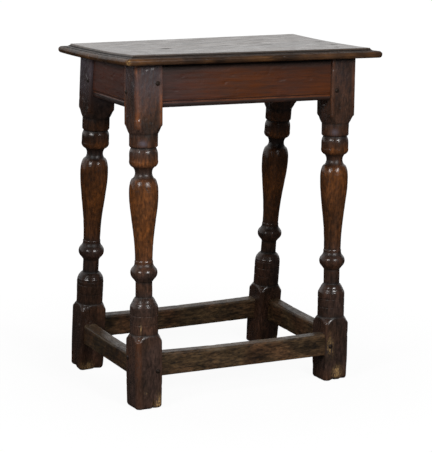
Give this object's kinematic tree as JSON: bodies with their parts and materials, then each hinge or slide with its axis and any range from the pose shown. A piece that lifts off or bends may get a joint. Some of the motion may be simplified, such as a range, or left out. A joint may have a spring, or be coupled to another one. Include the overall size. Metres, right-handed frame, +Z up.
{
  "type": "joint stool",
  "caption": "Low oak seat or side table on canted turned legs, with moulded top, beaded aprons and box stretchers, pegged together.",
  "frame": {"origin": "on the floor, under the middle of the seat", "axes": "+X along the seat towards the right end, +Y from front to back, +Z up from the floor to the seat"},
  "size_m": [0.45, 0.272, 0.5515],
  "materials": {
    "seat_oak": "old polished oak, worn pale along the edges",
    "leg_oak": "dark waxed oak, glossy on the turnings",
    "apron_oak": "dark waxed oak with a soft sheen",
    "stretcher_oak": "dry oak, rubbed pale by feet along the top",
    "peg_oak": "dark end grain"
  },
  "bodies": {
    "root": {"apron_back": "apron_oak", "apron_front": "apron_oak", "apron_left": "apron_oak", "apron_pegs_back_left": "peg_oak", "apron_pegs_back_right": "peg_oak", "apron_pegs_front_left": "peg_oak", "apron_pegs_front_right": "peg_oak", "apron_right": "apron_oak", "leg_back_left": "leg_oak", "leg_back_right": "leg_oak", "leg_front_left": "leg_oak", "leg_front_right": "leg_oak", "seat_board": "seat_oak", "seat_pegs": "peg_oak", "stretcher_back": "stretcher_oak", "stretcher_front": "stretcher_oak", "stretcher_left": "stretcher_oak", "stretcher_pegs_back_left": "peg_oak", "stretcher_pegs_back_right": "peg_oak", "stretcher_pegs_front_left": "peg_oak", "stretcher_pegs_front_right": "peg_oak", "stretcher_right": "stretcher_oak"}
  },
  "joints": []
}
